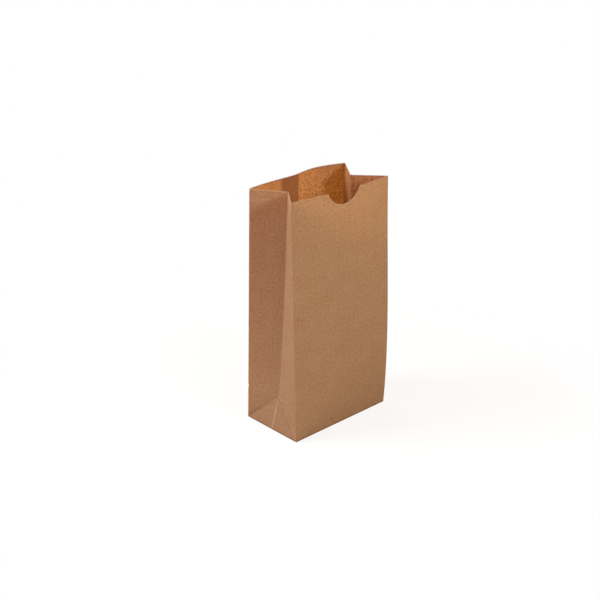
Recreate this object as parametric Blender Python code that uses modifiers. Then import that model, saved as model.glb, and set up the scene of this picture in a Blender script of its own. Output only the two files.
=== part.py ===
"""Brown paper lunch bag, standing open: one sheet of kraft paper, folded and glued.

The bag is worked out in the sheet's own measures. A point of the tube is given by its share across a
panel and by its height along the paper, and the panel functions carry it to its place on the open
bag. The section has six corners: two in front, two at the back and the crease of each side gusset.
Left and right are as seen from the front, -X and +X. The front, with the thumb notch, faces -Y.
"""

import math

import bmesh
import bpy
from mathutils import Vector

# The sheet
PANEL_WIDTH = 0.133  # front and back panel
GUSSET_WIDTH = 0.077  # each side, both halves
PAPER_HEIGHT = 0.262  # from the base folds to the cut mouth
PAPER = 0.0001  # one ply
MOST_PLIES = 2  # in the wall, at the seam
FLAP_LENGTH = 0.049  # how far each base flap reaches from its fold

# The glued seam down the back panel
SEAM_FROM_LEFT = 0.0465
SEAM_WIDTH = 0.0245

# The cut mouth
TOOTH_PITCH = 0.0023
TOOTH_DEPTH = 0.0008
TOOTH_STRIP = 0.003  # the strip of the sheet that carries the teeth, valleys and all
NOTCH_WIDTH = 0.043
NOTCH_DEPTH = 0.015

# How far each upper corner leans in over the base
LEAN_FRONT_LEFT = 0.0071
LEAN_FRONT_RIGHT = 0.0031
LEAN_BACK_RIGHT = 0.0109
LEAN_BACK_LEFT = 0.0087

# How far the right-hand corner lines bow forward, low on the bag
BOW_FRONT_RIGHT = 0.0038
BOW_BACK_RIGHT = 0.0030

# How far the panels stand out between their corners at the mouth
FRONT_SWELL = 0.0046
BACK_SWELLS = (0.0068, -0.0026, 0.0019)  # one, two and three half waves, from the left

# The side folds
SIDE_TRIANGLE_HEIGHT = 0.0363  # along the paper, from the base fold to the tip
CREASE_EXTRA = 0.0015  # how much deeper the gusset crease sits than flat halves would put it

# How finely the sheet is divided
FRONT_COLUMNS = 12
SEAM_COLUMNS = 3
BACK_LEFT_COLUMNS = 6
BACK_RIGHT_COLUMNS = 8
GUSSET_COLUMNS = 6  # in each half, and the rows of the side triangle
UPPER_ROWS = 10
NOTCH_FACETS = 72

# The base: plies from the ground up to the floor sheet that the walls stand on
FLAP_PLIES = 2  # each long flap with its turned-in corner
FLOOR_LEVEL = 2 * FLAP_PLIES * PAPER
FOLD_INSET = 3 * PAPER  # from a wall's face to the flat of a flap
BITE = PAPER / 2  # how far glued plies share their thickness

COLOUR = (0.42, 0.23, 0.12, 1.0)
ROUGHNESS = 0.85

HALF_WIDTH = PANEL_WIDTH / 2
HALF_GUSSET = GUSSET_WIDTH / 2


def clear_scene():
    for thing in list(bpy.data.objects):
        bpy.data.objects.remove(thing, do_unlink=True)


def new_collection(name):
    collection = bpy.data.collections.new(name)
    bpy.context.scene.collection.children.link(collection)
    return collection


def kraft_paper():
    material = bpy.data.materials.new("kraft_paper")
    material.use_nodes = True
    shader = material.node_tree.nodes["Principled BSDF"]
    shader.inputs["Base Color"].default_value = COLOUR
    shader.inputs["Roughness"].default_value = ROUGHNESS
    shader.inputs["Metallic"].default_value = 0.0
    return material


def low_bow(share):
    """One hump over the height of the paper, highest a third of the way up."""
    return 6.75 * share * (1 - share) ** 2


def corner(side, back, height):
    """A point of one of the four corner lines. side is -1 on the left and 1 on the right."""
    share = height / PAPER_HEIGHT
    if back:
        lean, bow = (LEAN_BACK_LEFT, 0.0) if side < 0 else (LEAN_BACK_RIGHT, BOW_BACK_RIGHT)
        y = HALF_GUSSET - lean * share - bow * low_bow(share)
    else:
        lean, bow = (LEAN_FRONT_LEFT, 0.0) if side < 0 else (LEAN_FRONT_RIGHT, BOW_FRONT_RIGHT)
        y = -HALF_GUSSET + lean * share - bow * low_bow(share)
    return Vector((side * HALF_WIDTH, y, height))


def crease_height_drop(side):
    """The side triangle leans in, so its tip and the crease above it sit this much lower."""
    tuck = crease_tuck(side, SIDE_TRIANGLE_HEIGHT)
    return SIDE_TRIANGLE_HEIGHT - math.sqrt(SIDE_TRIANGLE_HEIGHT**2 - tuck**2)


def crease_tuck(side, height):
    """How far the crease lies inside the corner lines, from the two halves of the gusset."""
    front = corner(side, False, height)
    rear = corner(side, True, height)
    half_depth = min((rear.y - front.y) / 2, HALF_GUSSET)
    return math.sqrt(HALF_GUSSET**2 - half_depth**2) + CREASE_EXTRA


def crease(side, height):
    """A point of the crease line above the tip of the side triangle."""
    front = corner(side, False, height)
    rear = corner(side, True, height)
    x = side * (HALF_WIDTH - crease_tuck(side, height))
    return Vector((x, (front.y + rear.y) / 2, height - crease_height_drop(side)))


def gusset_point(side, back, share, height):
    """share runs from the corner line, 0, to the crease, 1."""
    if height >= SIDE_TRIANGLE_HEIGHT:
        return corner(side, back, height).lerp(crease(side, height), share)
    rise = height / SIDE_TRIANGLE_HEIGHT
    foot = corner(side, back, 0.0)
    middle = Vector((side * HALF_WIDTH, 0.0, 0.0))
    tip = crease(side, SIDE_TRIANGLE_HEIGHT)
    if share >= rise:
        return foot + (middle - foot) * share + (tip - middle) * rise
    diagonal = foot.lerp(tip, rise)
    return corner(side, back, height).lerp(diagonal, share / rise)


def front_point(share, height):
    """share runs from the left corner line, 0, to the right one, 1."""
    point = corner(-1, False, height).lerp(corner(1, False, height), share)
    fade = (height / PAPER_HEIGHT) ** 2
    point.y -= FRONT_SWELL * math.sin(math.pi * share) * fade
    return point


def back_point(share, height, lap):
    """share runs from the left corner line. lap lifts the ply that lies outside the seam."""
    point = corner(-1, True, height).lerp(corner(1, True, height), share)
    fade = (height / PAPER_HEIGHT) ** 2
    for waves, swell in enumerate(BACK_SWELLS, start=1):
        point.y += swell * math.sin(waves * math.pi * share) * fade
    point.y += lap
    return point


def even_shares(count):
    return [step / count for step in range(count)]


def back_stations():
    """Shares from the left along the back panel, each with its plies and its lap at full height."""
    left = SEAM_FROM_LEFT / PANEL_WIDTH
    right = (SEAM_FROM_LEFT + SEAM_WIDTH) / PANEL_WIDTH
    step = PAPER / PANEL_WIDTH
    stations = [(left * share, 1, 0.0) for share in even_shares(BACK_LEFT_COLUMNS)]
    stations.append((left - step, 1, 0.0))
    seam = [left + (right - left) * share for share in even_shares(SEAM_COLUMNS) + [1.0]]
    stations += [(share, 2, PAPER) for share in seam]
    stations.append((right + step, 1, PAPER))
    for part in even_shares(BACK_RIGHT_COLUMNS)[1:]:
        stations.append((right + (1 - right) * part, 1, PAPER * (1 - part)))
    stations.append((1.0, 1, 0.0))
    return stations


def columns():
    """The columns once round the tube, as (point at a height, plies, slope). Each starts a strip of
    paper, and slope says how the side triangle's fold crosses it: 1 rising, -1 falling, 0 not at all."""
    ring = []
    for share in even_shares(FRONT_COLUMNS):
        ring.append((lambda height, at=share: front_point(at, height), 1, 0))
    ring += gusset_columns(1, from_back=False)
    for share, plies, lap in reversed(back_stations()[1:]):
        ring.append((lambda height, at=share, lift=lap: back_point(at, height, lift), plies, 0))
    ring += gusset_columns(-1, from_back=True)
    return ring


def gusset_columns(side, from_back):
    """From one corner line to the crease and on to the other corner line, without the last column."""
    shares = even_shares(GUSSET_COLUMNS)
    ring = [(lambda height, at=share: gusset_point(side, from_back, at, height), 1, 1) for share in shares]
    for share in shares:
        ring.append((lambda height, at=1 - share: gusset_point(side, not from_back, at, height), 1, -1))
    return ring


def row_heights():
    """The base fold, the rows of the side triangle, then up to the foot of the toothed strip."""
    lower = [SIDE_TRIANGLE_HEIGHT * share for share in even_shares(GUSSET_COLUMNS)]
    foot = PAPER_HEIGHT - TOOTH_STRIP
    rise = foot - SIDE_TRIANGLE_HEIGHT
    upper = [SIDE_TRIANGLE_HEIGHT + rise * share for share in even_shares(UPPER_ROWS)]
    return lower + upper + [foot]


def bag_sheet():
    """The tube and its floor as one open surface, mouth upwards, with the plies as a vertex group."""
    ring = columns()
    mesh = bmesh.new()
    plies_of = mesh.verts.layers.deform.verify()

    def sheet_vertex(place, plies):
        vertex = mesh.verts.new(place)
        vertex[plies_of][0] = plies / MOST_PLIES
        return vertex

    heights = row_heights() + [PAPER_HEIGHT - TOOTH_DEPTH]
    rows = [[sheet_vertex(point(height), plies) for point, plies, _ in ring] for height in heights]
    foot_row, valley_row = rows[-2:]
    for start, (point, plies, slope) in enumerate(ring):
        end = (start + 1) % len(ring)
        next_point, next_plies, _ = ring[end]
        for lower, upper in zip(rows[:-2], rows[1:-1]):
            wall_cell(mesh, (lower[start], lower[end], upper[end], upper[start]), slope)
        teeth = tooth_count(point, next_point)
        valleys = [valley_row[start]]
        for step in range(1, teeth):
            place = strip_place(point, next_point, heights[-1], step / teeth)
            valleys.append(sheet_vertex(place, min(plies, next_plies)))
        valleys.append(valley_row[end])
        fill_strip(mesh, foot_row[start], foot_row[end], valleys)
        for step in range(teeth):
            place = strip_place(point, next_point, PAPER_HEIGHT, (step + 0.5) / teeth)
            tip = sheet_vertex(place, min(plies, next_plies))
            mesh.faces.new((valleys[step], valleys[step + 1], tip))
    mesh.faces.new(list(reversed(rows[0])))
    for vertex in mesh.verts:
        vertex.co.z += FLOOR_LEVEL
    return mesh


def wall_cell(mesh, ring, slope):
    """One cell of the wall. In a gusset it is cut along the fold, or beside the fold in line with it."""
    low_start, low_end, high_end, high_start = ring
    if slope > 0:
        mesh.faces.new((low_start, low_end, high_end))
        mesh.faces.new((low_start, high_end, high_start))
    elif slope < 0:
        mesh.faces.new((low_start, low_end, high_start))
        mesh.faces.new((low_end, high_end, high_start))
    else:
        mesh.faces.new(ring)


def tooth_count(point, next_point):
    width = (next_point(PAPER_HEIGHT) - point(PAPER_HEIGHT)).length
    return max(1, round(width / TOOTH_PITCH))


def strip_place(point, next_point, height, share):
    return point(height).lerp(next_point(height), share)


def fill_strip(mesh, first, last, valleys):
    """Faces between two columns' feet and the valleys above them, in two fans that meet in the middle."""
    middle = len(valleys) // 2
    for step in range(middle):
        mesh.faces.new((first, valleys[step + 1], valleys[step]))
    mesh.faces.new((first, last, valleys[middle]))
    for step in range(middle, len(valleys) - 1):
        mesh.faces.new((last, valleys[step + 1], valleys[step]))


def object_from(mesh, name, collection):
    data = bpy.data.meshes.new(name)
    mesh.normal_update()
    mesh.to_mesh(data)
    mesh.free()
    thing = bpy.data.objects.new(name, data)
    collection.objects.link(thing)
    return thing


def as_cutter(thing):
    thing.hide_render = True
    thing.display_type = "WIRE"
    return thing


def prism(name, outline, bottom, top, collection):
    """An upright block over an outline that runs anticlockwise, seen from above."""
    mesh = bmesh.new()
    base = mesh.faces.new([mesh.verts.new((x, y, bottom)) for x, y in outline])
    raised = bmesh.ops.extrude_face_region(mesh, geom=[base])["geom"]
    lifted = [item for item in raised if isinstance(item, bmesh.types.BMVert)]
    bmesh.ops.translate(mesh, verts=lifted, vec=(0.0, 0.0, top - bottom))
    bmesh.ops.recalc_face_normals(mesh, faces=mesh.faces)
    return as_cutter(object_from(mesh, name, collection))


def flap_outline(facing):
    """A long base flap, mitred at 45 degrees from its fold. facing is -1 for the front flap, 1 for the back."""
    x = HALF_WIDTH - FOLD_INSET
    fold = HALF_GUSSET - FOLD_INSET
    reach = FLAP_LENGTH - FOLD_INSET
    outline = [(-x, -fold), (x, -fold), (x - reach, reach - fold), (reach - x, reach - fold)]
    if facing < 0:
        return outline
    return [(-across, -along) for across, along in outline]


def box_outline(half_width, half_depth):
    return [
        (-half_width, -half_depth),
        (half_width, -half_depth),
        (half_width, half_depth),
        (-half_width, half_depth),
    ]


def notch_cutter(collection):
    """A round bar that crosses the front panel at the mouth. Its chord at the cut is the notch's width."""
    radius = (NOTCH_WIDTH**2 / 4 + NOTCH_DEPTH**2) / (2 * NOTCH_DEPTH)
    centre = FLOOR_LEVEL + PAPER_HEIGHT - NOTCH_DEPTH + radius
    bpy.ops.mesh.primitive_cylinder_add(
        vertices=NOTCH_FACETS,
        radius=radius,
        depth=GUSSET_WIDTH / 2,
        location=(0.0, -HALF_GUSSET, centre),
        rotation=(math.pi / 2, 0.0, 0.0),
    )
    bar = bpy.context.active_object
    bar.name = "notch_cutter"
    for owner in list(bar.users_collection):
        owner.objects.unlink(bar)
    collection.objects.link(bar)
    return as_cutter(bar)


def boolean(target, name, operation, other):
    """Flat triangles go into each cut, because a bent polygon has no exact plane."""
    target.modifiers.new("flat faces before " + name, "TRIANGULATE")
    modifier = target.modifiers.new(name, "BOOLEAN")
    modifier.operation = operation
    modifier.solver = "EXACT"
    modifier.object = other


def build():
    clear_scene()
    parts = new_collection("paper_lunch_bag")
    cutters = new_collection("cutters")

    bag = object_from(bag_sheet(), "paper_bag", parts)
    bag.data.materials.append(kraft_paper())
    bag.vertex_groups.new(name="plies")

    wall = bag.modifiers.new("paper", "SOLIDIFY")
    wall.thickness = MOST_PLIES * PAPER
    wall.offset = -1.0
    wall.use_even_offset = True
    wall.vertex_group = "plies"

    front_flap = prism("front_flap", flap_outline(-1), 0.0, FLOOR_LEVEL + BITE, cutters)
    back_flap = prism("back_flap", flap_outline(1), FLAP_PLIES * PAPER, FLOOR_LEVEL + BITE / 2, cutters)
    gap = box_outline(HALF_WIDTH - FLAP_LENGTH, HALF_GUSSET - 2 * FOLD_INSET)
    between_side_flaps = prism(
        "between_side_flaps", gap, FLOOR_LEVEL - BITE / 2, FLOOR_LEVEL + 4 * PAPER, cutters
    )
    boolean(bag, "front flap", "UNION", front_flap)
    boolean(bag, "back flap", "UNION", back_flap)
    boolean(bag, "between side flaps", "DIFFERENCE", between_side_flaps)
    boolean(bag, "thumb notch", "DIFFERENCE", notch_cutter(cutters))


build()
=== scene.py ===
"""Brown paper lunch bag, standing open: the folded sheet, its base flaps and a plain studio."""

import math

import bpy
import numpy as np
from bpy.props import FloatProperty, FloatVectorProperty, IntProperty, PointerProperty
from mathutils import Matrix


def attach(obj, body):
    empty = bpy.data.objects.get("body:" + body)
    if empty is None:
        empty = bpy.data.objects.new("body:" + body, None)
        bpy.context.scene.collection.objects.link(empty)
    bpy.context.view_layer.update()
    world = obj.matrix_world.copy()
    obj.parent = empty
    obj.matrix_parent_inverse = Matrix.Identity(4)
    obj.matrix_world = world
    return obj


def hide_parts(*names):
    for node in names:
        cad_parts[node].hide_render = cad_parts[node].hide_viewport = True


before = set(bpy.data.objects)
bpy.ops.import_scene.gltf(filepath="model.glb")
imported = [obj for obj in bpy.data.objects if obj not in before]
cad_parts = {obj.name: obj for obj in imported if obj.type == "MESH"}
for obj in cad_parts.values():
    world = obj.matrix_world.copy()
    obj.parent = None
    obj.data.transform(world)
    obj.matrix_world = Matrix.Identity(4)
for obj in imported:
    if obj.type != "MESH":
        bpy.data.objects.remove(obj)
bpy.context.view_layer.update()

bl_info = {
    "name": "Brown paper lunch bag",
    "version": (1, 0, 0),
    "blender": (4, 5, 0),
    "location": "3D View > Sidebar > Paper bag",
    "description": "Makes a folded kraft paper lunch bag and a plain studio around it",
    "category": "Add Mesh",
}

# The sheet's material slots
OUTSIDE, INSIDE, CUT = 0, 1, 2

# The grid's columns beside a fold, in softnesses, and beside an edge of the lap, in plies
FOLD_STEPS = np.array([-2.0, -1.0, -0.5, 0.5, 1.0, 2.0])
LAP_STEPS = np.array([-3.5, -0.5, 0.5, 3.5])
NOTCH_COLUMNS = 41
PLACE_DECIMALS = 7

# Rows about the flat crease, in half widths of it, and rows that follow the cut, from this many notch
# depths down and closer towards it
CREASE_STEPS = np.array([-1.0, -0.5, 0.0, 0.5, 1.0, 1.6])
MOUTH_REACH = 1.7
MOUTH_CROWDING = 1.5

# Rings of the floor: how far each is drawn in from the walls
FLOOR_SHARES = np.array([0.97, 0.7, 0.3, 0.02])

# The ripples: size, turn along the width, turn up the height and start of each sine
RIPPLES = ((1.0, 17.0, 31.0, 0.7), (0.7, 9.0, -74.0, 2.1))

# Wear of the folds, how far it reaches, and how much of a crease is left under a triangle's tip
BASE_WEAR, CORNER_WEAR, CREASE_WEAR, PACK_WEAR, DIAGONAL_WEAR = 0.6, 0.5, 0.6, 0.42, 0.6
WEAR_REACH = 0.002
LEAST_LEFT, LEFT_REACH = 0.4, 0.008
DIAGONAL_SLANT = 0.7

# Painted shade lines beside the diagonals: where they start, and how far they reach under and over
DARK_START, DARK_UNDER, DARK_OVER = 0.0004, 0.0032, 0.006

FLAP_STEPS = 12
FLAP_INSET = 3.0  # in plies
NEVER_CUT = 0.1  # a distance to the cut that no mark of it reaches
TINY = 1e-6

# How far each texture sways the outer face, and the inner face
CLOUDS, MOTTLES, FIBRES, STREAKS = 0.3, 1.3, 1.0, 0.2
INNER_CLOUDS, INNER_MOTTLES = 0.6, 3.0

# Shares of the marks in the outer face's colour, and in the inner face's. Of these, the foot, the lines
# beside the diagonals, the front and the inner face's cut edge are painted shade.
WORN, FRAYED, PAINTED_FOOT_SHADE, PAINTED_DIAGONAL_SHADE, FLECKED = 0.32, 0.4, 0.85, 0.45, 0.3
LAP_TINT, LAP_SHADE, PAINTED_FRONT_SHADE = 0.25, 0.24, 0.25
INNER_LAP, INNER_LAP_EVENS, PAINTED_EDGE_SHADE = 0.7, 0.8, 0.8

# From where to where each mark rises: wear, distances under the cut, height over the foot, flecks of
# the noise, and distances about the lap's and the front's edges
WORN_RANGE, FRAY_RANGE, EDGE_RANGE = (0.3, 1.0), (0.0002, 0.0011), (0.0006, 0.0016)
FOOT_RANGE, FLECK_RANGE = (0.0003, 0.0022), (0.74, 0.82)
LAP_FADE, LAP_SHARP, FRONT_SHARP = (-0.002, 0.0015), 0.0002, 0.001

# What holds light back: how much the mottling sways it, and the lap, the foot and the front
THIN_SWAY, LAP_HOLDS, FOOT_HOLDS, FRONT_HOLDS = 0.5, 0.7, 0.8, 0.45
INNER_THIN, INNER_THIN_SWAY, INNER_LAP_HOLDS = 0.7, 0.6, 0.15

WHITE = (1.0, 1.0, 1.0, 1.0)

# The floor's half width and cells, the share of white in its shadow, and where the shadow ends
FLOOR_REACH, FLOOR_CELLS = 3.0, 12
SHADOW_WHITE, SHADOW_START, SHADOW_END = 0.84, 0.12, 0.40

# Each lamp's size, place, aim and tint
LAMPS = {
    "key": (0.8, (-1.075, 0.745, 1.10), (0.0, 0.0, 0.15), (1.0, 1.0, 0.98)),
    "front": (0.22, (0.06, -1.00, 0.68), (0.0, 0.0, 0.2), (0.90, 1.0, 0.90)),
    "back": (0.8, (0.25, 1.1, 0.85), (0.0, 0.0, 0.2), (1.0, 0.98, 0.96)),
}

# The camera: degrees round and up, distance, shift across and up, the point that it circles, and lens
AZIMUTH, ELEVATION = -43.07, 23.32
DISTANCE, ACROSS, RISE = 1.2357, -0.01823, -0.00417
CENTRE = np.array([0.0, 0.0, 0.1354])
LENS, SENSOR = 70.11, 36.0


def length(name, description, default):
    """A size in metres."""
    return FloatProperty(
        name=name, description=description, default=default, unit="LENGTH", subtype="DISTANCE", precision=5
    )


def fraction(name, description, default):
    """A number from 0 to 1."""
    return FloatProperty(name=name, description=description, default=default, min=0.0, max=1.0)


def colour(name, description, default):
    """A linear colour."""
    return FloatVectorProperty(
        name=name, description=description, default=default, size=3, subtype="COLOR", min=0.0, max=1.0
    )


class BagSizes(bpy.types.PropertyGroup):
    panel_width: length("Panel width", "Width of the front and back panel", 0.133)
    gusset_width: length("Gusset width", "Width of each side, both halves", 0.077)
    height: length("Height", "Along the paper, from the base folds to the cut mouth", 0.262)
    ply: length("Paper", "Thickness of one ply", 0.0001)
    floor_level: length("Floor level", "Plies of the base flaps under the floor", 0.0004)
    flap_length: length("Base flap", "How far each base flap reaches from its fold", 0.049)
    seam_start: length("Seam place", "From the back panel's left edge to the glued lap", 0.0465)
    seam_width: length("Seam width", "Width of the glued lap", 0.0245)
    tooth_pitch: length("Tooth pitch", "Distance between the teeth of the cut mouth", 0.0023)
    tooth_depth: length("Tooth depth", "Depth of the teeth of the cut mouth", 0.0012)
    notch_width: length("Notch width", "Width of the thumb notch at the mouth", 0.043)
    notch_depth: length("Notch depth", "Depth of the thumb notch", 0.015)
    triangle_height: length("Side triangle", "From the base fold to the tip of the side triangle", 0.0363)
    crease_extra: length("Crease depth", "How much deeper the crease sits than flat halves put it", 0.0015)
    pack_crease: length("Flat crease", "Depth of the crease left across the back by packing flat", 0.0004)
    pack_height: length("Flat crease height", "Where that crease lies", 0.0385)
    pack_width: length("Flat crease width", "Half the width of that crease", 0.0015)
    ripple: length("Ripple", "How far the panels wave, out and in", 0.0004)
    fold_softness: length("Fold softness", "Half the width over which a fold turns", 0.0004)
    leans: FloatVectorProperty(
        name="Leans",
        description="How far the upper corners lean in: front left, front right, back left, back right",
        default=(0.0071, 0.0031, 0.0087, 0.0109),
        size=4,
        unit="LENGTH",
        precision=5,
    )
    bows: FloatVectorProperty(
        name="Bows",
        description="How far the corner lines bow forward low on the bag, in the same order",
        default=(0.0, 0.0038, 0.0, 0.0030),
        size=4,
        unit="LENGTH",
        precision=5,
    )
    front_swell: length("Front swell", "How far the front stands out at the mouth", 0.0046)
    back_swells: FloatVectorProperty(
        name="Back swells",
        description="One, two and three half waves of the back panel at the mouth",
        default=(0.0068, -0.0026, 0.0019),
        size=3,
        unit="LENGTH",
        precision=5,
    )
    triangle_rows: IntProperty(name="Triangle rows", description="Rows in the side triangle", default=34)
    upper_rows: IntProperty(name="Upper rows", description="Grid rows above the side triangle", default=54)
    mouth_rows: IntProperty(name="Mouth rows", description="Grid rows that follow the cut mouth", default=8)


class PaperLook(bpy.types.PropertyGroup):
    outside: colour("Outside", "Dark fibres of the outer face", (0.242, 0.134, 0.057))
    outside_light: colour("Outside, light", "Light fibres of the outer face", (0.402, 0.288, 0.185))
    inside: colour("Inside", "Light fibres of the inner face", (0.460, 0.338, 0.245))
    # inside_dark is also painted along the inner face's cut edge, as painted shade
    inside_dark: colour("Inside, dark", "Dark fibres of the inner face", (0.170, 0.052, 0.014))
    lap: colour("Glued lap", "Inner face over the seam", (0.320, 0.120, 0.043))
    # Painted shade: the front panel's colour is darkened towards this; the front also lets less light
    # through
    front_shade_colour: colour("Front", "Fibres of the front panel, which is denser", (0.196, 0.082, 0.020))
    # Painted shade at the foot and beside the diagonals; also the colour of the dark flecks and of the
    # darker lap on the outer face
    painted_shade_and_dark_marks: colour("Painted shade and dark marks", "Lowest edge of the bag", (0.090, 0.045, 0.022))
    cut: colour("Cut edge", "Torn fibres of the cut mouth", (0.850, 0.600, 0.430))
    through: colour("Let through", "Colour of light that has come through the paper", (0.915, 0.565, 0.235))
    thin_outside: fraction("Outside lets through", "Share of light that the outer face passes on", 0.36)
    thin_inside: fraction("Inside lets through", "Share of light that the inner face passes on", 0.58)
    roughness: fraction("Roughness", "Of uncoated kraft", 0.82)
    shine: fraction("Shine", "Specular level of the faces", 0.25)
    cut_roughness: fraction("Cut's roughness", "Of the bare fibres", 0.9)
    cut_shine: fraction("Cut's shine", "Specular level of the bare fibres", 0.1)
    relief: fraction("Relief", "Strength of the fibres' relief", 0.35)
    relief_depth: length("Relief depth", "Depth of the fibres' relief", 0.00005)


class StudioLook(bpy.types.PropertyGroup):
    floor: colour("Floor", "Pale plain floor", (0.85, 0.85, 0.85))
    ambient: FloatProperty(name="Ambient", description="Even light from all round", default=0.495, min=0.0)
    ambient_tint: colour("Ambient tint", "Warm, as from a wooden room", (1.0, 0.40, 0.24))
    key_power: FloatProperty(name="Key", description="Soft lamp, back left", default=32.5, unit="POWER")
    front_power: FloatProperty(name="Front", description="Lamp in front", default=9.6, unit="POWER")
    back_power: FloatProperty(name="Back", description="Soft lamp, behind", default=5.0, unit="POWER")


# The shape of the sheet


def mix(start, end, part):
    """The straight line from start to end."""
    return start + (end - start) * part


def low_bow(part):
    """One hump over the height: 27/4 x (1 - x)^2, which is 1 where x is a third."""
    return 27 / 4 * part * (1 - part) ** 2


def fold_places(bag):
    """Places round the tube: front left corner, front right, right crease, back right, back left, left
    crease and front left again."""
    wide, half = bag.panel_width, bag.gusset_width / 2
    return np.cumsum([0.0, wide, half, half, wide, half, half])


def from_back_left(bag, around):
    """How far a place round the tube lies from the back's left edge, seen from the front."""
    return 2 * bag.panel_width + bag.gusset_width - around


def flat_crease(bag, height):
    """How far the crease of the flat-packed bag goes in: a bell over the height, just above the tips."""
    return bag.pack_crease * np.exp(-(((height - bag.pack_height) / bag.pack_width) ** 2))


def corner_line(bag, side, back, height):
    """The corner leans in evenly with the height, and bows forward by low_bow. side is -1 or 1."""
    which = (2 if back else 0) + (1 if side > 0 else 0)
    share = height / bag.height
    facing = 1 if back else -1
    dent = flat_crease(bag, height) if back else 0.0
    y = facing * (bag.gusset_width / 2 - bag.leans[which] * share - dent) - bag.bows[which] * low_bow(share)
    return np.stack([side * (bag.panel_width / 2 - dent) + np.zeros_like(y), y, height], axis=-1)


def crease_tuck(bag, side, height):
    """Depth of the gusset crease: the third side of a right triangle with half the gusset as its
    longest side and half the bag's depth as another, and a little more."""
    half = bag.gusset_width / 2
    depth = (corner_line(bag, side, True, height) - corner_line(bag, side, False, height))[..., 1] / 2
    return np.sqrt(half**2 - np.minimum(depth, half) ** 2) + bag.crease_extra


def crease_line(bag, side, height):
    """Midway between the corner lines, tucked in, and lowered by what the leaning side triangle loses."""
    tip_tuck = crease_tuck(bag, side, np.array(bag.triangle_height))
    drop = bag.triangle_height - np.sqrt(bag.triangle_height**2 - tip_tuck**2)
    middle = (corner_line(bag, side, True, height) + corner_line(bag, side, False, height)) / 2
    middle[..., 0] = side * (bag.panel_width / 2 - crease_tuck(bag, side, height))
    middle[..., 2] -= drop
    return middle


def gusset_half(bag, side, back, share, height):
    """share is 0 at the corner line and 1 at the crease. Above the triangle's tip, a straight line
    between the two. Beside the triangle, a straight line from the corner line to the diagonal. In the
    triangle, a flat face through both feet and the tip."""
    zero = np.zeros_like(height)
    foot = corner_line(bag, side, back, zero)
    tip = crease_line(bag, side, zero + bag.triangle_height)
    middle = np.stack([zero + side * bag.panel_width / 2, zero, zero], axis=-1)
    rise = height / bag.triangle_height
    across, up = share[..., None], rise[..., None]
    corner = corner_line(bag, side, back, height)
    above = mix(corner, crease_line(bag, side, height), across)
    triangle = foot + (middle - foot) * across + (tip - middle) * up
    beside = mix(corner, mix(foot, tip, up), across / np.maximum(up, TINY))
    low = np.where((share >= rise)[..., None], triangle, beside)
    return np.where((height >= bag.triangle_height)[..., None], above, low)


def panel(bag, back, share, height):
    """A straight line between the corner lines, swollen by half waves that grow with the height
    squared, and rippled."""
    across = share[..., None]
    place = mix(corner_line(bag, -1, back, height), corner_line(bag, 1, back, height), across)
    fade = (height / bag.height) ** 2
    swells = bag.back_swells if back else (-bag.front_swell,)
    for waves, swell in enumerate(swells, start=1):
        place[..., 1] += swell * np.sin(waves * np.pi * share) * fade
    place[..., 1] += (1 if back else -1) * ripples(bag, share, height)
    return place


def ripples(bag, across, height):
    """Slow waves of handled paper: two sines that run aslant, nothing at the folds and at the foot."""
    still = np.sin(np.pi * np.clip(across, 0.0, 1.0)) * np.minimum(height / bag.triangle_height, 1.0)
    waves = sum(size * np.sin(along * across + up * height + start) for size, along, up, start in RIPPLES)
    return bag.ripple * waves * still


def tube(bag, around, height):
    """A point of the sheet from its paper coordinates: round from the front left corner line to the
    right, and up from the base folds. Below the folds the sheet turns in flat under the bag."""
    wide, half = bag.panel_width, bag.gusset_width / 2
    stops = fold_places(bag)
    around = np.mod(around, stops[-1])
    up = np.maximum(height, 0.0)
    under = np.maximum(-height, 0.0)
    zero = np.zeros_like(under)
    pieces = [
        (panel(bag, False, around / wide, up), (zero, under)),
        (gusset_half(bag, 1, False, (around - stops[1]) / half, up), (-under, zero)),
        (gusset_half(bag, 1, True, (stops[3] - around) / half, up), (-under, zero)),
        (panel(bag, True, (stops[4] - around) / wide, up), (zero, -under)),
        (gusset_half(bag, -1, True, (around - stops[4]) / half, up), (under, zero)),
        (gusset_half(bag, -1, False, (stops[6] - around) / half, up), (under, zero)),
    ]
    place = np.zeros(around.shape + (3,))
    for (piece, (inward_x, inward_y)), start, end in zip(pieces, stops[:-1], stops[1:]):
        here = (around >= start) & (around < end)
        piece[..., 0] += inward_x
        piece[..., 1] += inward_y
        place[here] = piece[here]
    return place


def soft_tube(bag, around, height):
    """The mean of nine points of the tube, a fold's softness apart, which rounds every fold."""
    steps = (-1, 0, 1)
    weights = (0.25, 0.5, 0.25)
    place = 0.0
    for across, part in zip(steps, weights):
        for up, share in zip(steps, weights):
            moved = tube(bag, around + across * bag.fold_softness, height + up * bag.fold_softness)
            place = place + moved * part * share
    return place


def notch_radius(bag):
    """The radius of the arc through the notch's ends and its lowest point."""
    return (bag.notch_width**2 / 4 + bag.notch_depth**2) / (2 * bag.notch_depth)


def mouth_height(bag, around, teeth):
    """The cut: teeth as straight zigzags, lowest at whole numbers of teeth, and the notch's round arc."""
    zigzag = 1 - np.abs(2 * np.mod(teeth, 1.0) - 1)
    cut = bag.height - bag.tooth_depth * (1 - zigzag)
    across = around - bag.panel_width / 2
    radius = notch_radius(bag)
    inside = np.abs(across) < bag.notch_width / 2
    arc = bag.height - bag.notch_depth + radius - np.sqrt(np.maximum(radius**2 - across**2, 0.0))
    return np.where(inside, np.minimum(cut, arc), cut)


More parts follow.
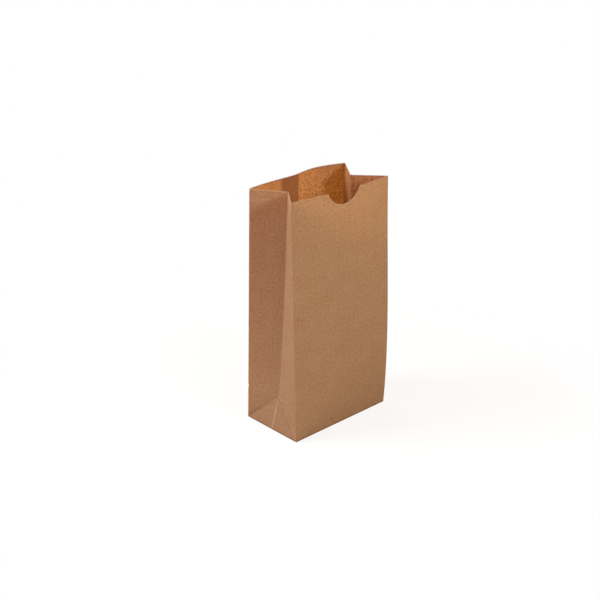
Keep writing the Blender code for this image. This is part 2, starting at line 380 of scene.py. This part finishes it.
def stations(bag):
    """Places round the tube where the grid has its columns, with the number of teeth up to each: every
    tip and valley, even turns of the notch, and close steps at each fold and at the seam's edges."""
    stops = fold_places(bag)
    places, teeth = [], []
    for start, end in zip(stops[:-1], stops[1:]):
        count = round((end - start) / bag.tooth_pitch)
        part = np.arange(2 * count) / (2 * count)
        places.append(mix(start, end, part))
        teeth.append(part * count)
    places, teeth = np.concatenate(places), np.concatenate(teeth)
    centre, reach, radius = bag.panel_width / 2, bag.notch_width / 2, notch_radius(bag)
    widest = math.asin(reach / radius)
    notch = centre + radius * np.sin(np.linspace(-widest, widest, NOTCH_COLUMNS))
    keep = np.abs(places - centre) > reach + bag.ply
    places, teeth = places[keep], teeth[keep]
    folds = (stops[:-1, None] + bag.fold_softness * FOLD_STEPS).ravel()
    seam = stops[4] - bag.seam_start - np.array([[0.0], [bag.seam_width]]) + bag.ply * LAP_STEPS
    extra = np.mod(np.concatenate([notch, folds, seam.ravel()]), stops[-1])
    order = np.argsort(places)
    extra_teeth = np.interp(extra, np.append(places[order], stops[-1]), np.append(teeth[order], 0.0))
    places, teeth = np.concatenate([places, extra]), np.concatenate([teeth, extra_teeth])
    places, first = np.unique(np.round(places, PLACE_DECIMALS), return_index=True)
    return places, teeth[first]


def sheet_heights(bag, top):
    """Heights of the grid's rows: even in the side triangle, even above it but for close ones about the
    flat crease, then in step with the cut."""
    mouth_foot = bag.height - MOUTH_REACH * bag.notch_depth
    low = np.linspace(0.0, bag.triangle_height, bag.triangle_rows + 1)
    middle = np.linspace(bag.triangle_height, mouth_foot, bag.upper_rows + 1)[1:]
    crease = bag.pack_height + bag.pack_width * CREASE_STEPS
    clear = np.abs(middle[:, None] - crease[None]).min(axis=1) > bag.pack_width / 2
    middle = np.sort(np.concatenate([middle[clear], crease]))
    straight = np.concatenate([low, middle])[:, None] + np.zeros_like(top)
    part = 1 - (1 - np.arange(1, bag.mouth_rows + 1) / bag.mouth_rows) ** MOUTH_CROWDING
    return np.concatenate([straight, mix(mouth_foot, top, part[:, None])])


def outward(place):
    """Unit normals of a closed ring grid, from the steps to the next columns and rows."""
    across = np.roll(place, -1, axis=1) - np.roll(place, 1, axis=1)
    up = np.gradient(place, axis=0)
    normal = np.cross(across, up)
    return normal / np.linalg.norm(normal, axis=-1, keepdims=True)


def seam_plies(bag, around):
    """(plies, how many plies the outer face stands out): two plies in the lap, and from its left edge,
    seen from the front, the outer ply lies outside and comes back level at the right corner line."""
    from_left = from_back_left(bag, around)
    start, end = bag.seam_start, bag.seam_start + bag.seam_width
    on_back = (from_left > 0) & (from_left < bag.panel_width)
    plies = np.where(on_back & (from_left > start) & (from_left < end), 2.0, 1.0)
    fade = (bag.panel_width - from_left) / (bag.panel_width - end)
    lift = np.where(on_back & (from_left > start), np.clip(fade, 0.0, 1.0), 0.0)
    return plies, lift


def grid_triangles(rows, columns, rising):
    """Corner numbers of two triangles in each cell, anticlockwise, split from lower left to upper
    right where rising is true and the other way elsewhere."""
    start = np.arange(rows - 1)[:, None] * columns + np.arange(columns - 1)[None, :]
    a, b, c, d = start, start + 1, start + columns + 1, start + columns
    first = np.where(rising[..., None], np.stack([a, b, c], -1), np.stack([a, b, d], -1))
    second = np.where(rising[..., None], np.stack([a, c, d], -1), np.stack([b, c, d], -1))
    return np.concatenate([first.reshape(-1, 3), second.reshape(-1, 3)])


def mesh_piece(name, places, corners, slots, maps, attributes, materials):
    """A mesh from whole arrays: places of vertices, corner numbers and slots of faces, a paper map for
    each face corner and attributes for each vertex."""
    data = bpy.data.meshes.new(name)
    data.from_pydata(places.tolist(), [], corners.tolist())
    data.polygons.foreach_set("material_index", slots.astype(np.int32))
    data.polygons.foreach_set("use_smooth", np.ones(len(corners), dtype=bool))
    layer = data.uv_layers.new(name="paper")
    layer.data.foreach_set("uv", maps.reshape(-1).astype(np.float32))
    for title, values in attributes.items():
        attribute = data.attributes.new(title, "FLOAT", "POINT")
        attribute.data.foreach_set("value", values.astype(np.float32))
    for material in materials:
        data.materials.append(material)
    if data.validate():
        raise RuntimeError(name + " has faces that are not sound")
    data.update()
    piece = bpy.data.objects.new(name, data)
    bpy.context.scene.collection.objects.link(piece)
    return piece


def sheet_arrays(bag):
    """The walls as an outer grid, and the same moved in by the paper's thickness, each carried in to
    near the middle of the floor. Gives the columns' places, the cut, the rows' heights and the skins."""
    around, teeth = stations(bag)
    top = mouth_height(bag, around, teeth)
    heights = sheet_heights(bag, top)
    outer = soft_tube(bag, np.broadcast_to(around, heights.shape), heights)
    normal = outward(outer)
    plies, lift = seam_plies(bag, around)
    outer = outer + normal * (lift * bag.ply)[None, :, None]
    inner = outer - normal * (plies * bag.ply)[None, :, None]
    outer[..., 2] += bag.floor_level
    inner[..., 2] += bag.floor_level
    inner[0, :, 2] = bag.floor_level + bag.ply
    skins = []
    for wall, level in ((outer, bag.floor_level), (inner, bag.floor_level + bag.ply)):
        floor = wall[0][None] * (1 - FLOOR_SHARES)[:, None, None]
        floor[..., 2] = level
        skins.append(np.concatenate([floor, wall]))
    floor_heights = -FLOOR_SHARES[:, None] * bag.gusset_width / 2 + np.zeros_like(around)
    return around, top, np.concatenate([floor_heights, heights]), skins


def rising_cells(bag, around, rows):
    """True in the halves of the gussets whose diagonal fold rises with the place round the tube."""
    stops = fold_places(bag)
    middle = around + TINY
    rising = ((middle > stops[1]) & (middle < stops[2])) | ((middle > stops[4]) & (middle < stops[5]))
    return np.broadcast_to(rising, (rows - 1, len(around)))


def folded_sheet(bag, materials):
    """Both skins, closed in the middle of the floor by fans and along the cut by the paper's edge. Each
    group of faces has its corner numbers, its places on the paper's own map and its slot."""
    around, top, heights, skins = sheet_arrays(bag)
    rows, columns = heights.shape
    size = rows * columns
    wrapped = np.concatenate([heights, heights[:, :1]], axis=1)
    closed = np.broadcast_to(np.append(around, fold_places(bag)[-1]), wrapped.shape)
    paper = np.stack([closed, wrapped], axis=-1).reshape(-1, 2)
    real = (np.arange(rows)[:, None] * columns + np.arange(columns + 1)[None, :] % columns).ravel()
    cells = grid_triangles(rows, columns + 1, rising_cells(bag, around, rows))
    foot_a = np.arange(columns)
    foot_b = foot_a + 1
    rim_a = foot_a + (rows - 1) * (columns + 1)
    rim_b = rim_a + 1
    pole = np.full(columns, 2 * size)
    fan_map = np.stack([paper[foot_b], paper[foot_a], paper[foot_a]], 1)
    inner_shift = np.array([0.0, 1.0])
    edge_low = np.stack([real[rim_a], real[rim_b], real[rim_b] + size], -1)
    edge_high = np.stack([real[rim_a], real[rim_b] + size, real[rim_a] + size], -1)
    groups = [
        (real[cells], paper[cells], OUTSIDE),
        (real[cells][:, ::-1] + size, paper[cells][:, ::-1] + inner_shift, INSIDE),
        (edge_low, np.stack([paper[rim_a], paper[rim_b], paper[rim_b]], 1), CUT),
        (edge_high, np.stack([paper[rim_a], paper[rim_b], paper[rim_a]], 1), CUT),
        (np.stack([real[foot_b], real[foot_a], pole], -1), fan_map, OUTSIDE),
        (np.stack([real[foot_a] + size, real[foot_b] + size, pole + 1], -1), fan_map + inner_shift, INSIDE),
    ]
    corners, maps = [np.concatenate([group[part] for group in groups]) for part in (0, 1)]
    slots = np.concatenate([np.full(len(group[0]), group[2]) for group in groups])
    poles = np.array([[0.0, 0.0, bag.floor_level], [0.0, 0.0, bag.floor_level + bag.ply]])
    places = np.concatenate([skins[0].reshape(-1, 3), skins[1].reshape(-1, 3), poles])
    below = (top - heights).ravel()
    # fold: the wear of the folds above 0, and painted shade beside the diagonals below 0
    wear_and_shade = fold_wear_and_shade(bag, np.broadcast_to(around, heights.shape), heights).ravel()
    attributes = {
        "below_cut": np.concatenate([below, below, [top[0], top[0]]]),
        "fold": np.concatenate([wear_and_shade, wear_and_shade, [0.0, 0.0]]),
    }
    return mesh_piece("folded_sheet", places, corners, slots, maps, attributes, materials)


def fold_wear_and_shade(bag, around, height):
    """Each fold's own wear on it, falling to 0 over two millimetres: corner lines and creases, what is
    left of the creases below the tips, the diagonals of the side triangles and the base folds. Below
    0, painted shade: a dark line under the front diagonals, and over the back ones towards the foot."""
    half = bag.gusset_width / 2
    stops = fold_places(bag)
    low = height < bag.triangle_height
    wear_and_shade = BASE_WEAR * (1 - np.abs(height) / WEAR_REACH)
    on_back = (around > stops[2]) & (around < stops[5])
    packed = PACK_WEAR * (1 - np.abs(height - bag.pack_height) / WEAR_REACH)
    wear_and_shade = np.where(on_back, np.maximum(wear_and_shade, packed), wear_and_shade)
    left = np.clip((bag.triangle_height - height) / LEFT_REACH, LEAST_LEFT, 1.0)
    for number, stop in enumerate(stops):
        strength = np.where(low, left, CREASE_WEAR) if number in (2, 5) else CORNER_WEAR
        wear_and_shade = np.maximum(wear_and_shade, strength * (1 - np.abs(around - stop) / WEAR_REACH))
    for centre in (stops[2], stops[5]):
        part = 1 - np.abs(around - centre) / half
        off = np.abs(part * bag.triangle_height - height) * DIAGONAL_SLANT
        wear_and_shade = np.where((part > 0) & low, np.maximum(wear_and_shade, DIAGONAL_WEAR * (1 - off / WEAR_REACH)), wear_and_shade)
    wear_and_shade = np.clip(wear_and_shade, 0.0, 1.0)
    # Painted shade beside the diagonals, as values below 0
    for centre, front in ((stops[2], -1), (stops[5], 1)):
        part = 1 - front * (around - centre) / half
        below = part * bag.triangle_height - height
        under = (part > 0) & (part < 1) & low & (height > 0) & (below > DARK_START) & (below < DARK_UNDER)
        wear_and_shade = np.where(under, below / DARK_UNDER - 1.0, wear_and_shade)
        part = 1 + front * (around - centre) / half
        above = height - part * bag.triangle_height
        over = (part > 0) & (part < 1) & low & (above > -DARK_START) & (above < DARK_OVER)
        wear_and_shade = np.where(over, (above / DARK_OVER - 1.0) * (1 - part), wear_and_shade)
    return wear_and_shade


def flap_plate(corners, low, high, steps):
    """A flat plate: straight lines between four corners in both directions, above and below, closed by
    its rim. Gives places, corner numbers, paper maps and which faces are in the rim."""
    share = np.linspace(0.0, 1.0, steps + 1)
    a, b, c, d = [np.array(corner) for corner in corners]
    near = mix(a, b, share[:, None])
    far = mix(d, c, share[:, None])
    flat = mix(near[None], far[None], share[:, None, None]).reshape(-1, 2)
    size = (steps + 1) ** 2
    bottom = np.column_stack([flat, np.full(size, low)])
    top = np.column_stack([flat, np.full(size, high)])
    cells = grid_triangles(steps + 1, steps + 1, np.ones((steps, steps), dtype=bool))
    index = np.arange(size).reshape(steps + 1, steps + 1)
    ring = np.concatenate([index[0, :-1], index[:-1, -1], index[-1, :0:-1], index[:0:-1, 0]])
    after = np.roll(ring, -1)
    rim = np.concatenate(
        [
            np.stack([ring, after, after + size], -1),
            np.stack([ring, after + size, ring + size], -1),
        ]
    )
    faces = np.concatenate([cells[:, ::-1], cells + size, rim])
    flat_maps = np.concatenate([flat, flat])
    on_rim = np.arange(len(faces)) >= 2 * len(cells)
    return np.concatenate([bottom, top]), faces, flat_maps[faces], on_rim


def base_flaps(bag, materials):
    """Two long mitred flaps under the floor and two side flaps on it."""
    inset = FLAP_INSET * bag.ply
    x, y = bag.panel_width / 2 - inset, bag.gusset_width / 2 - inset
    reach = bag.flap_length - inset
    front = [(-x, -y), (x, -y), (x - reach, reach - y), (reach - x, reach - y)]
    right = [(x - reach, -y), (x, -y), (x, y), (x - reach, y)]
    back, left = [[(-across, -along) for across, along in outline] for outline in (front, right)]
    level, ply = bag.floor_level, bag.ply
    plates = [
        (front, 0.0, level + ply / 2, OUTSIDE),
        (back, 2 * ply, level + ply / 3, OUTSIDE),
        (right, level + ply / 2, level + 2 * ply, INSIDE),
        (left, level + ply / 2, level + 2 * ply, INSIDE),
    ]
    places, faces, maps, slots = [], [], [], []
    count = 0
    for outline, low, high, slot in plates:
        plate_places, plate_faces, plate_maps, on_rim = flap_plate(outline, low, high, FLAP_STEPS)
        places.append(plate_places)
        faces.append(plate_faces + count)
        maps.append(plate_maps + (2.0 if slot == OUTSIDE else 3.0))
        slots.append(np.where(on_rim, CUT, slot))
        count += len(plate_places)
    places, faces, maps, slots = [np.concatenate(part) for part in (places, faces, maps, slots)]
    attributes = {"below_cut": np.full(len(places), NEVER_CUT), "fold": np.zeros(len(places))}
    piece = mesh_piece("base_flaps", places, faces, slots, maps, attributes, materials)
    piece.data.polygons.foreach_set("use_smooth", np.zeros(len(faces), dtype=bool))
    return piece


# The look of the paper


class Value:
    """A socket of a node. Sums, differences and products with it add Math nodes."""

    def __init__(self, look, socket):
        self.look = look
        self.socket = socket

    def other(self, name):
        """Another output of the same node."""
        return Value(self.look, self.socket.node.outputs[name])

    def math(self, operation, *terms, clamp=False):
        settings = {"operation": operation, "use_clamp": clamp}
        return self.look.node("ShaderNodeMath", settings, dict(enumerate(terms)))

    def __add__(self, other):
        return self.math("ADD", self, other)

    def __radd__(self, other):
        return self.math("ADD", other, self)

    def __sub__(self, other):
        return self.math("SUBTRACT", self, other)

    def __rsub__(self, other):
        return self.math("SUBTRACT", other, self)

    def __mul__(self, other):
        return self.math("MULTIPLY", self, other)

    def __rmul__(self, other):
        return self.math("MULTIPLY", other, self)

    def clamp(self):
        return self.math("ADD", self, 0.0, clamp=True)

    def step(self, start, end):
        """0 below start, 1 above end and a smooth rise between."""
        settings = {"interpolation_type": "SMOOTHSTEP"}
        values = {"Value": self, "From Min": start, "From Max": end}
        return self.look.node("ShaderNodeMapRange", settings, values)


class Look:
    """The nodes of a material or a world."""

    def __init__(self, owner):
        self.owner = owner
        owner.use_nodes = True
        owner.node_tree.nodes.clear()

    def node(self, kind, settings, values, output=0):
        """One node: its settings first, then each socket's value or link. Gives one output."""
        tree = self.owner.node_tree
        made = tree.nodes.new(kind)
        for name, setting in settings.items():
            setattr(made, name, setting)
        for socket, value in values.items():
            if isinstance(value, Value):
                tree.links.new(value.socket, made.inputs[socket])
            else:
                made.inputs[socket].default_value = value
        return Value(self, made.outputs[output]) if made.outputs else None

    def blend(self, part, start, end):
        """The colour from start to end. A plain colour is a tuple of three."""
        start, end = [opaque(side) if isinstance(side, tuple) else side for side in (start, end)]
        return self.node("ShaderNodeMix", {"data_type": "RGBA"}, {0: part, 6: start, 7: end}, output=2)

    def noise(self, place, wide, tall, detail=2.0, rough=0.5, seed=0.0):
        """Noise on the paper's own map, with blotches that are wide by tall metres."""
        moved = self.node(
            "ShaderNodeVectorMath",
            {"operation": "MULTIPLY_ADD"},
            {0: place, 1: (1 / wide, 1 / tall, 1.0), 2: (seed, 1.7 * seed, 0.0)},
        )
        values = {"Vector": moved, "Scale": 1.0, "Detail": detail, "Roughness": rough}
        return self.node("ShaderNodeTexNoise", {"noise_dimensions": "2D"}, values)

    def surface(self, shader):
        self.node("ShaderNodeOutputMaterial", {}, {"Surface": shader})
        return self.owner


def opaque(tint):
    return tuple(tint) + (1.0,)


def material_look(name):
    return Look(bpy.data.materials.new(name))


def paper_map(look):
    """A place on the flat paper, in metres: x round the tube and y up it."""
    return look.node("ShaderNodeUVMap", {"uv_map": "paper"}, {})


def attribute(look, name):
    """A mark that is stored at each vertex."""
    return look.node("ShaderNodeAttribute", {"attribute_name": name}, {}, output=2)


def paper_shader(look, colours, paint, relief, thin):
    """Matt paper that passes some light on. thin says what share."""
    bump_values = {"Strength": colours.relief, "Distance": colours.relief_depth, "Height": relief}
    bump = look.node("ShaderNodeBump", {}, bump_values)
    face = look.node(
        "ShaderNodeBsdfPrincipled",
        {},
        {
            "Base Color": paint,
            "Roughness": colours.roughness,
            "Specular IOR Level": colours.shine,
            "Normal": bump,
        },
    )
    glow = look.node("ShaderNodeBsdfTranslucent", {}, {"Color": opaque(colours.through)})
    return look.surface(look.node("ShaderNodeMixShader", {}, {0: thin.clamp(), 1: face, 2: glow}))


def lap_mask(look, bag, place):
    """1 on the glued lap, with a sharp right edge and a soft left one, seen from the front."""
    from_left = from_back_left(bag, look.node("ShaderNodeSeparateXYZ", {}, {"Vector": place}))
    soft, end = [bag.seam_start + fade for fade in LAP_FADE], bag.seam_start + bag.seam_width
    return from_left.step(*soft) * (1 - from_left.step(end - LAP_SHARP, end + LAP_SHARP))


def kraft_outside(bag, colours):
    """Mottled kraft with fine fibres, faint streaks along the web and paler folds and cut from wear.
    Painted shade darkens the foot, lines beside the diagonals and the front panel, which is also
    denser and lets less light through."""
    look = material_look("kraft_outside")
    place = paper_map(look)
    cloud = look.noise(place, wide=0.020, tall=0.016, seed=3.0)
    mottle = look.noise(place, wide=0.0024, tall=0.0026, rough=0.6, seed=11.0)
    grain = look.noise(place, wide=0.0010, tall=0.0012, rough=0.7, seed=23.0)
    streak = look.noise(place, wide=0.0030, tall=0.045, seed=31.0)
    sway = (cloud - 0.5) * CLOUDS + (mottle - 0.5) * MOTTLES
    sway = sway + (grain - 0.5) * FIBRES + (streak - 0.5) * STREAKS
    paint = look.blend((0.5 + sway).clamp(), tuple(colours.outside), tuple(colours.outside_light))
    fold = attribute(look, "fold")
    fray = (1 - attribute(look, "below_cut").step(*FRAY_RANGE)) * FRAYED
    paint = look.blend((fold.step(*WORN_RANGE) * WORN + fray).clamp(), paint, tuple(colours.cut))
    around = look.node("ShaderNodeSeparateXYZ", {}, {"Vector": place})
    # Painted contact shade: the outer face darkens towards the foot, where it also lets less light through
    foot = 1 - around.other("Y").step(*FOOT_RANGE)
    paint = look.blend(foot * PAINTED_FOOT_SHADE, paint, tuple(colours.painted_shade_and_dark_marks))
    # Painted shade: dark lines beside the diagonals, where fold is below 0, together with the dark flecks
    under = (fold * -1.0).step(0.0, 1.0)
    fleck = look.noise(place, wide=0.0015, tall=0.0013, detail=0.0, seed=41.0).step(*FLECK_RANGE)
    paint = look.blend((under * PAINTED_DIAGONAL_SHADE + fleck * FLECKED).clamp(), paint, tuple(colours.painted_shade_and_dark_marks))
    lap = lap_mask(look, bag, place)
    paint = look.blend(lap * LAP_TINT, paint, tuple(colours.lap))
    paint = look.blend(lap * LAP_SHADE, paint, tuple(colours.painted_shade_and_dark_marks))
    # Painted shade on the front panel, which also lets less light through
    front = 1 - around.step(bag.panel_width - FRONT_SHARP, bag.panel_width + FRONT_SHARP)
    paint = look.blend(front * PAINTED_FRONT_SHADE, paint, tuple(colours.front_shade_colour))
    held = (1 - lap * LAP_HOLDS) * (1 - foot * FOOT_HOLDS) * (1 - front * FRONT_HOLDS)
    thin = (1 + (mottle - 0.5) * THIN_SWAY) * held * colours.thin_outside
    return paper_shader(look, colours, paint, mottle * 0.5 + grain * 0.5, thin)


def kraft_inside(bag, colours):
    """The inner face: clouded by the denser and thinner places of the sheet, and even and darker on the
    glued lap, where two plies lie on each other. Painted shade darkens it along the cut."""
    look = material_look("kraft_inside")
    place = paper_map(look)
    lap = lap_mask(look, bag, place)
    cloud = look.noise(place, wide=0.009, tall=0.009, rough=0.6, seed=5.0)
    mottle = look.noise(place, wide=0.0027, tall=0.0025, detail=3.0, rough=0.7, seed=17.0)
    sway = ((cloud - 0.5) * INNER_CLOUDS + (mottle - 0.5) * INNER_MOTTLES) * (1 - lap * INNER_LAP_EVENS)
    tone = (0.5 + sway).clamp()
    paint = look.blend(tone, tuple(colours.inside_dark), tuple(colours.inside))
    paint = look.blend(lap * INNER_LAP, paint, tuple(colours.lap))
    # Painted shade: the inner face is darkened along the cut, and lets less light through there
    edge = (1 - attribute(look, "below_cut").step(*EDGE_RANGE)) * PAINTED_EDGE_SHADE
    paint = look.blend(edge, paint, tuple(colours.inside_dark))
    held = (1 - lap * INNER_LAP_HOLDS) * (1 - edge)
    thin = (INNER_THIN + tone * INNER_THIN_SWAY) * held * colours.thin_inside
    return paper_shader(look, colours, paint, mottle, thin)


def kraft_cut(colours):
    """The bare fibres of a cut edge."""
    look = material_look("kraft_cut_edge")
    grain = look.noise(paper_map(look), wide=0.0008, tall=0.0008, seed=7.0)
    paint = look.blend(grain, tuple(colours.outside_light), tuple(colours.cut))
    values = {
        "Base Color": paint,
        "Roughness": colours.cut_roughness,
        "Specular IOR Level": colours.cut_shine,
    }
    return look.surface(look.node("ShaderNodeBsdfPrincipled", {}, values))


def paper_materials(scene):
    """The three finishes of the sheet, made once and then shared by its pieces."""
    found = [bpy.data.materials.get(name) for name in ("kraft_outside", "kraft_inside", "kraft_cut_edge")]
    if all(found):
        return found
    colours = scene.lunch_bag_paper
    bag = scene.lunch_bag_sizes
    return [kraft_outside(bag, colours), kraft_inside(bag, colours), kraft_cut(colours)]


# The studio


def floor_material(studio):
    """Pale and plain. The camera sees mostly white there, so the background is white and only the soft
    shadow near the bag is left."""
    look = material_look("studio_floor")
    path = look.node("ShaderNodeLightPath", {}, {})
    glossy, through = path.other("Is Glossy Ray"), path.other("Is Transmission Ray")
    white = (path.other("Is Camera Ray") + glossy + through).clamp()
    place = look.node("ShaderNodeTexCoord", {}, {}, output=3)
    away = look.node("ShaderNodeVectorMath", {"operation": "LENGTH"}, {0: place}, output=1)
    share = white * (SHADOW_WHITE + (1 - SHADOW_WHITE) * away.step(SHADOW_START, SHADOW_END))
    pale = look.node("ShaderNodeBsdfDiffuse", {}, {"Color": opaque(studio.floor)})
    glow = look.node("ShaderNodeEmission", {}, {"Color": WHITE, "Strength": 1.0})
    return look.surface(look.node("ShaderNodeMixShader", {}, {0: share, 1: pale, 2: glow}))


def studio_floor(studio):
    """A flat grid about the origin."""
    steps = np.linspace(-FLOOR_REACH, FLOOR_REACH, FLOOR_CELLS + 1)
    x, y = np.meshgrid(steps, steps)
    places = np.stack([x, y, np.zeros_like(x)], -1).reshape(-1, 3)
    rising = np.ones((FLOOR_CELLS, FLOOR_CELLS), dtype=bool)
    faces = grid_triangles(FLOOR_CELLS + 1, FLOOR_CELLS + 1, rising)
    maps = places[faces][..., :2]
    return mesh_piece("floor", places, faces, np.zeros(len(faces)), maps, {}, [floor_material(studio)])


def studio_world(studio):
    """Even light all round. The camera sees white."""
    world = bpy.data.worlds.new("studio")
    look = Look(world)
    seen = look.node("ShaderNodeLightPath", {}, {}).other("Is Camera Ray")
    values = {"Color": opaque(studio.ambient_tint), "Strength": studio.ambient}
    light = look.node("ShaderNodeBackground", {}, values)
    white = look.node("ShaderNodeBackground", {}, {"Color": WHITE, "Strength": 1.0})
    either = look.node("ShaderNodeMixShader", {}, {0: seen, 1: light, 2: white})
    look.node("ShaderNodeOutputWorld", {}, {"Surface": either})
    bpy.context.scene.world = world


def soft_lamp(name, power):
    """A round area lamp of LAMPS."""
    size, place, aim, tint = LAMPS[name]
    data = bpy.data.lights.new(name, "AREA")
    data.energy = power
    data.shape = "DISK"
    data.size = size
    data.color = tint
    lamp = bpy.data.objects.new(name, data)
    bpy.context.scene.collection.objects.link(lamp)
    lamp.matrix_world = facing_matrix(place, np.array(place) - np.array(aim))


def facing_matrix(place, back):
    """A frame at place whose z axis points back, with x level."""
    back = back / np.linalg.norm(back)
    right = np.cross([0.0, 0.0, 1.0], back)
    right /= np.linalg.norm(right)
    up = np.cross(back, right)
    turned = np.eye(4)
    turned[:3, 0], turned[:3, 1], turned[:3, 2], turned[:3, 3] = right, up, back, place
    return Matrix(turned.tolist())


def studio_camera():
    """The photograph's view: turned 43 degrees to the left of the front and 23 above the floor."""
    azimuth, elevation = math.radians(AZIMUTH), math.radians(ELEVATION)
    level = math.cos(elevation)
    back = np.array([math.sin(azimuth) * level, -math.cos(azimuth) * level, math.sin(elevation)])
    right = np.array([math.cos(azimuth), math.sin(azimuth), 0.0])
    up = np.cross(back, right)
    data = bpy.data.cameras.new("camera")
    data.lens = LENS
    data.sensor_width = SENSOR
    camera = bpy.data.objects.new("camera", data)
    bpy.context.scene.collection.objects.link(camera)
    camera.matrix_world = facing_matrix(CENTRE + back * DISTANCE + right * ACROSS + up * RISE, back)
    bpy.context.scene.camera = camera


# The add-on


class LUNCHBAG_OT_folded_sheet(bpy.types.Operator):
    """Make the folded sheet: front with its notch, back with its seam, gussets, side triangles and floor"""

    bl_idname = "lunchbag.folded_sheet"
    bl_label = "Folded sheet"

    def execute(self, context):
        scene = context.scene
        piece = folded_sheet(scene.lunch_bag_sizes, paper_materials(scene))
        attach(piece, "root")
        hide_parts("paper_bag")
        return {"FINISHED"}


class LUNCHBAG_OT_base_flaps(bpy.types.Operator):
    """Make the four flaps of the folded base"""

    bl_idname = "lunchbag.base_flaps"
    bl_label = "Base flaps"

    def execute(self, context):
        scene = context.scene
        piece = base_flaps(scene.lunch_bag_sizes, paper_materials(scene))
        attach(piece, "root")
        return {"FINISHED"}


class LUNCHBAG_OT_studio(bpy.types.Operator):
    """Make the pale floor, the soft light and the camera"""

    bl_idname = "lunchbag.studio"
    bl_label = "Studio"

    def execute(self, context):
        studio = context.scene.lunch_bag_studio
        floor = studio_floor(studio)
        studio_world(studio)
        soft_lamp("key", studio.key_power)
        soft_lamp("front", studio.front_power)
        soft_lamp("back", studio.back_power)
        studio_camera()
        context.scene.view_settings.view_transform = "Standard"
        return {"FINISHED"}


class LUNCHBAG_PT_panel(bpy.types.Panel):
    """Sizes, colours and steps of the lunch bag"""

    bl_idname = "LUNCHBAG_PT_panel"
    bl_label = "Paper bag"
    bl_space_type = "VIEW_3D"
    bl_region_type = "UI"
    bl_category = "Paper bag"

    def draw(self, context):
        scene = context.scene
        for group in (scene.lunch_bag_sizes, scene.lunch_bag_paper, scene.lunch_bag_studio):
            box = self.layout.box()
            for name in group.__annotations__:
                box.prop(group, name)
        for operator in OPERATORS:
            self.layout.operator(operator.bl_idname)


OPERATORS = (LUNCHBAG_OT_folded_sheet, LUNCHBAG_OT_base_flaps, LUNCHBAG_OT_studio)
GROUPS = {"lunch_bag_sizes": BagSizes, "lunch_bag_paper": PaperLook, "lunch_bag_studio": StudioLook}
CLASSES = (*GROUPS.values(), *OPERATORS, LUNCHBAG_PT_panel)


def register():
    for item in CLASSES:
        bpy.utils.register_class(item)
    for name, group in GROUPS.items():
        setattr(bpy.types.Scene, name, PointerProperty(type=group))


def unregister():
    for name in GROUPS:
        delattr(bpy.types.Scene, name)
    for item in reversed(CLASSES):
        bpy.utils.unregister_class(item)


def main():
    register()
    bpy.ops.lunchbag.folded_sheet()
    bpy.ops.lunchbag.base_flaps()
    bpy.ops.lunchbag.studio()


if __name__ == "__main__":
    main()
